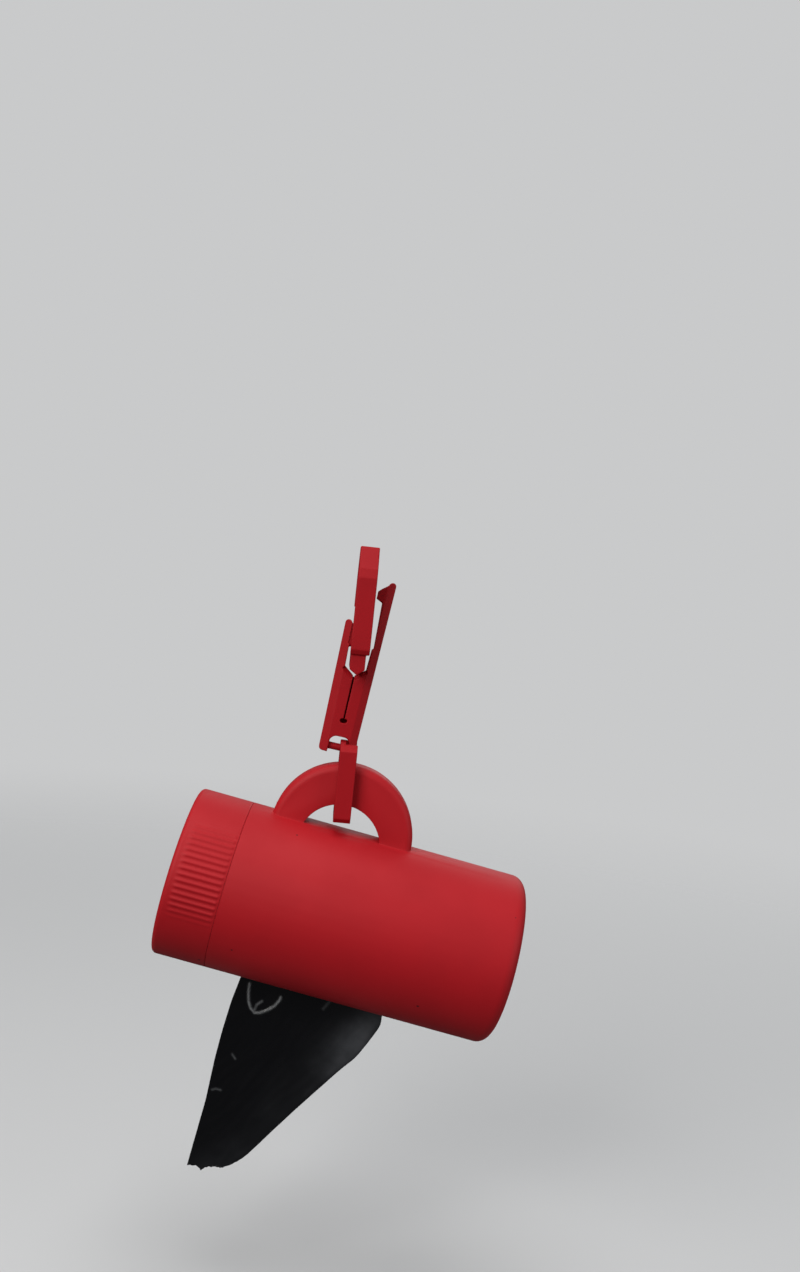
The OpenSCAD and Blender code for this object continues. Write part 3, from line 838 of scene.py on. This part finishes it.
def wound_bags(sizes, material):
    """Geometry Nodes tree: a strip wound in a spiral, its turns set in and out by a noise."""
    tree, ids, given, end = geometry_tree("wound_bags", sizes)
    spiral = tree.nodes.new("GeometryNodeCurveSpiral")
    spiral.inputs["Resolution"].default_value = 48
    spiral.inputs["Height"].default_value = 0
    tree.links.new(given.outputs["Turns"], spiral.inputs["Rotations"])
    tree.links.new(given.outputs["Inner Radius"], spiral.inputs["Start Radius"])
    tree.links.new(given.outputs["Outer Radius"], spiral.inputs["End Radius"])
    level = tree.nodes.new("GeometryNodeSetCurveNormal")
    level.mode = "Z_UP"
    tree.links.new(spiral.outputs[0], level.inputs["Curve"])
    strip = tree.nodes.new("GeometryNodeCurvePrimitiveQuadrilateral")
    tree.links.new(given.outputs["Strip Thickness"], strip.inputs["Width"])
    tree.links.new(given.outputs["Strip Width"], strip.inputs["Height"])
    wound = tree.nodes.new("GeometryNodeCurveToMesh")
    wound.inputs["Fill Caps"].default_value = True
    tree.links.new(level.outputs[0], wound.inputs["Curve"])
    tree.links.new(strip.outputs[0], wound.inputs["Profile Curve"])
    flat = tree.nodes.new("ShaderNodeVectorMath")
    flat.operation = "MULTIPLY"
    flat.inputs[1].default_value = (1, 1, 0)
    tree.links.new(tree.nodes.new("GeometryNodeInputPosition").outputs[0], flat.inputs[0])
    radius = tree.nodes.new("ShaderNodeVectorMath")
    radius.operation = "LENGTH"
    tree.links.new(flat.outputs[0], radius.inputs[0])
    uneven = tree.nodes.new("ShaderNodeTexNoise")
    uneven.noise_dimensions = "1D"
    uneven.inputs["Scale"].default_value = 900
    uneven.inputs["Detail"].default_value = 2
    tree.links.new(radius.outputs["Value"], uneven.inputs["W"])
    centred = math_node(tree, "SUBTRACT", uneven.outputs["Fac"], 0.5)
    shift = tree.nodes.new("ShaderNodeCombineXYZ")
    tree.links.new(
        math_node(tree, "MULTIPLY", centred, given.outputs["Unevenness"]), shift.inputs["Z"]
    )
    moved = tree.nodes.new("GeometryNodeSetPosition")
    tree.links.new(wound.outputs[0], moved.inputs["Geometry"])
    tree.links.new(shift.outputs[0], moved.inputs["Offset"])
    end(moved.outputs[0], material)
    return tree, ids


roll_tree, roll_ids = wound_bags(roll_sizes, rolled_film)
roll = mesh_from_nodes("wound_bags", roll_tree, roll_ids, roll_sizes)
roll.data.transform(along_barrel(roll_middle, -roll_under_axis))
roll.data.shade_smooth()
roll.data.set_sharp_from_angle(angle=math.radians(40))
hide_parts("bag_roll")
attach(roll, "bag_roll")

# Core of the roll. A short tube of grey-brown board, wound from a strip of paper: the strip's
# edge shows as a dark spiral line. It is the CAD tube with the board's own surface.
board_dark = (0.30, 0.20, 0.115, 1)
board_pale = (0.47, 0.34, 0.21, 1)
board_seam_dark = (0.12, 0.08, 0.05, 1)
strip_pitch = 14.0
seam_width = 0.03
board = bpy.data.materials.new("core_board")
board.use_nodes = True
board_tree = board.node_tree
board_place = board_tree.nodes.new("ShaderNodeMapping")
board_place.vector_type = "TEXTURE"
board_place.inputs["Location"].default_value = in_barrel(0, 0, -roll_under_axis)
board_place.inputs["Rotation"].default_value = along_barrel(0, 0).to_euler()
board_tree.links.new(
    board_tree.nodes.new("ShaderNodeTexCoord").outputs["Object"], board_place.inputs["Vector"]
)
board_fibres = board_tree.nodes.new("ShaderNodeTexNoise")
board_fibres.inputs["Scale"].default_value = 900
board_fibres.inputs["Detail"].default_value = 5
board_tree.links.new(board_place.outputs[0], board_fibres.inputs["Vector"])
board_axes = board_tree.nodes.new("ShaderNodeSeparateXYZ")
board_tree.links.new(board_place.outputs[0], board_axes.inputs[0])
board_turn = math_node(
    board_tree, "DIVIDE",
    math_node(board_tree, "ARCTAN2", board_axes.outputs["Y"], board_axes.outputs["X"]),
    2 * math.pi,
)
board_seam = math_node(
    board_tree, "PINGPONG",
    math_node(
        board_tree, "ADD", board_turn,
        math_node(board_tree, "DIVIDE", board_axes.outputs["Z"], strip_pitch * MM),
    ),
    0.5,
)
board_line = ramp_node(board_tree, board_seam, 0.0, seam_width, 1.0, 0.0)
board_shader = board_tree.nodes["Principled BSDF"]
board_colour = mix_colour(board_tree, board_fibres.outputs["Fac"], board_dark, board_pale)
board_tree.links.new(
    mix_colour(board_tree, board_line, board_colour, board_seam_dark),
    board_shader.inputs["Base Color"],
)
board_shader.inputs["Roughness"].default_value = 0.85
board_bump = board_tree.nodes.new("ShaderNodeBump")
board_bump.inputs["Strength"].default_value = 0.5
board_bump.inputs["Distance"].default_value = 0.05 * MM
board_tree.links.new(board_fibres.outputs["Fac"], board_bump.inputs["Height"])
board_tree.links.new(board_bump.outputs["Normal"], board_shader.inputs["Normal"])
core = frame["nodes"]["roll_core"]
core.data.materials.clear()
core.data.materials.append(board)

# Tail of the first bag. Two layers of thin black film, joined at the slanted fold on the right;
# the left edge is the bag's straight side, and the lower end is torn off. It comes off the roll
# through the slot and hangs from there, with the dent and the creases that the pull left in it.
slot_depth = 22
film_top = -2.7
film_low_left = 54.6
film_low_right = 49.0
film_thickness = 0.07
layers_apart = 0.4
curl_from = -1.3
curl_back = 0.9
fold_reach = 9
fold_bend = 2.0
fold_puff = 0.55
fold_round = 1.5
fold_sheen_reach = 8
torn_from = 0.86
full_crease = 0.4
tail_rows = 190
front_columns = 150
back_columns = 60
left_corners = ((-4, 24.2), (0.8, 23.8), (8.2, 23.1), (16.5, 22.9), (24.3, 23.0), (35.9, 23.7),
                (54, 23.7))
fold_corners = ((-4, 62.5), (1.5, 62.8), (4.4, 63.4), (9.8, 61.2), (14.6, 59.1), (19.4, 55.7),
                (32.1, 47.7), (44.5, 40.4), (49.0, 37.6), (54, 33))
torn_corners = ((24, 54.5), (25.9, 54.0), (27.7, 55.1), (28.9, 53.8), (30.7, 53.1), (32.9, 52.8),
                (34.9, 51.5), (37.6, 49.0))
# Each crease is its half width and height in mm, and its path along the barrel and down.
creases = (
    (0.25, 0.42, ((26.5, 2.4), (26.9, 5.0), (27.6, 7.4), (28.6, 9.1), (29.8, 10.0), (31.2, 9.7),
                  (33.0, 8.6), (34.5, 6.9), (35.4, 4.9), (35.5, 4.0))),
    (0.24, 0.26, ((29.6, 9.6), (29.9, 7.8), (31.0, 6.6))),
    (0.24, 0.14, ((27.2, 22.4), (28.3, 23.4))),
    (0.24, 0.09, ((24.6, 33.0), (25.5, 32.5), (26.9, 32.5))),
    (0.35, 0.06, ((47.2, 3.8), (48.4, 1.2))),
)
dent = (31.2, 4.2)
dent_reach = (3.6, 3.9)
dent_depth = 1.0


def held(value):
    """The value, held between 0 and 1."""
    return min(max(value, 0), 1)


def fades(distance, reach):
    """1 at no distance, falling off as a bell curve does, to a third at the reach."""
    return math.exp(-((distance / reach) ** 2))


def on_line(corners, at):
    """Value at a place on a line given by its corners."""
    for (low, a), (high, b) in zip(corners, corners[1:]):
        if at <= high:
            return a + (b - a) * (at - low) / (high - low)
    return corners[-1][1]


def on_curve(corners, at):
    """The same with its corners eased over a millimetre or so."""
    reach = 1.3
    return (on_line(corners, at - reach) + 2 * on_line(corners, at)
            + on_line(corners, at + reach)) / 4


def film_place(across, share):
    """Place on the film, along the barrel and down from it, from 0..1 across and 0..1 down."""
    left_down = film_top + share * (film_low_left - film_top)
    right_down = film_top + share * (film_low_right - film_top)
    left = on_curve(left_corners, left_down)
    along = left + across * (on_curve(fold_corners, right_down) - left)
    down = left_down + across * (right_down - left_down)
    end_left = on_line(left_corners, film_low_left)
    end_along = end_left + across * (on_line(fold_corners, film_low_right) - end_left)
    end_down = film_low_left + across * (film_low_right - film_low_left)
    jagged = 0.25 * noise.noise(Vector((along * 2.3, 7.7, 0)))
    ragged = max(0, (share - torn_from) / (1 - torn_from))
    return along, down + ragged * (on_line(torn_corners, end_along) + jagged - end_down)


def crease_height(along, down):
    """How far the creases stand out of the front layer, in mm."""
    spot = Vector((along, down))
    height = 0
    for width, rise, path in creases:
        near = math.inf
        for a, b in zip(path, path[1:]):
            a, b = Vector(a), Vector(b)
            part = held((spot - a).dot(b - a) / (b - a).length_squared)
            near = min(near, (spot - a - (b - a) * part).length)
        height = max(height, rise * fades(near, width))
    return height


def film_wave(along, down, from_fold):
    """How far the hanging film stands back from the middle of the slot, in mm.

    Each wave is its height in mm, with its phases per mm along the barrel and down.
    """
    swell = 1.1 * math.sin((along - 24) * 0.10 + down * 0.045)
    ripple = 0.3 * noise.noise(Vector((along * 0.16, down * 0.09, 0.4)))
    ripple += 0.12 * noise.noise(Vector((along * 0.55 + down * 0.25, down * 0.2, 2.9)))
    waves = held(down / 9) * (swell + ripple)
    bend = held(down / 5 + 0.4) * fold_bend * fades(from_fold, fold_reach)
    sunk = dent_depth * fades(along - dent[0], dent_reach[0])
    sunk *= fades(down - dent[1], dent_reach[1])
    onto_roll = curl_back * max(0, (curl_from - down) / (curl_from - film_top)) ** 2
    return waves + bend + sunk + onto_roll


def hanging_film():
    """Front layer, fold and back layer as one sheet of quads, with its flat places and painted
    sheen.
    """
    closer_at_fold = 1.35
    brightest, bright_reach = 9, 11
    unfolded = 130
    map_mm = flat_map_size / MM
    verts, flat_places, sheen, crease_whiteness_and_highlight = [], [], [], []
    for r in range(tail_rows + 1):
        for c in range(front_columns + back_columns + 1):
            front = c <= front_columns
            step = c / front_columns if front else 1 - (c - front_columns) / back_columns
            across = 1 - (1 - step) ** closer_at_fold
            along, down = film_place(across, r / tail_rows)
            from_fold = max(on_curve(fold_corners, down) - along, 0)
            puffed = fold_puff * fades(from_fold, fold_reach) * held(down / 6)
            roundness = math.sqrt(max(0, 1 - (1 - min(from_fold / fold_round, 1)) ** 2))
            side = (layers_apart / 2 + puffed) * (roundness if across < 1 else 0)
            back = film_wave(along, down, from_fold) + (-side if front else side)
            raised = crease_height(along, down) * held((down + 1) / 2) if front else 0
            back -= raised
            # The raised ridges of the creases get a mark that paints them light: whitening and a
            # painted highlight.
            crease_whiteness_and_highlight.append(min(1, raised / full_crease))
            verts.append(in_barrel(along, back, -slot_depth - down))
            flat_along = along if front else unfolded - along
            flat_places.append((flat_along / map_mm, down / map_mm))
            # Painted sheen: a lighter mask along the fold, brightest 9 mm down.
            upper = fades(down - brightest, bright_reach)
            sheen.append(fades(from_fold, fold_sheen_reach) * (0.2 + 0.8 * upper))
    wide = front_columns + back_columns + 1
    faces = [
        (r * wide + c, r * wide + c + 1, (r + 1) * wide + c + 1, (r + 1) * wide + c)
        for r in range(tail_rows)
        for c in range(wide - 1)
    ]
    mesh = bpy.data.meshes.new("hanging_film")
    mesh.from_pydata(verts, [], faces)
    mesh.attributes.new("sheen", "FLOAT", "POINT").data.foreach_set("value", sheen)
    mesh.attributes.new("crease_whiteness_and_highlight", "FLOAT", "POINT").data.foreach_set("value", crease_whiteness_and_highlight)
    flat_map = mesh.uv_layers.new(name="flat_film")
    for loop in mesh.loops:
        flat_map.data[loop.index].uv = flat_places[loop.vertex_index]
    return mesh


def cut_area():
    """Area of the two flat layers in square metres, from the outline alone, without its waves."""
    sides = 60
    steps = [n / sides for n in range(sides + 1)]
    outline = [film_place(0, down) for down in steps]
    outline += [film_place(across, 1) for across in steps]
    outline += [film_place(1, 1 - up) for up in steps]
    crossed = sum(
        a[0] * b[1] - b[0] * a[1] for a, b in zip(outline, outline[1:] + outline[:1])
    )
    one_layer = abs(crossed) / 2
    return 2 * one_layer * MM * MM


tail = new_piece("hanging_film", hanging_film())
tail.data.materials.append(
    # The grey given here is the painted sheen along the fold.
    film_material(
        "hanging_film", film_black, (0.085, 0.089, 0.098, 1),
        flat_map="flat_film", sheen="sheen", whitening_and_highlight="crease_whiteness_and_highlight",
    )
)
thick = tail.modifiers.new("thickness", "SOLIDIFY")
thick.thickness = film_thickness * MM
thick.offset = 0
tail_mesh = baked(tail)
tail_mesh.shade_smooth()
tail_mesh.set_sharp_from_angle(angle=math.radians(50))
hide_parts("bag_tail")
cut_area()
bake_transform(tail)
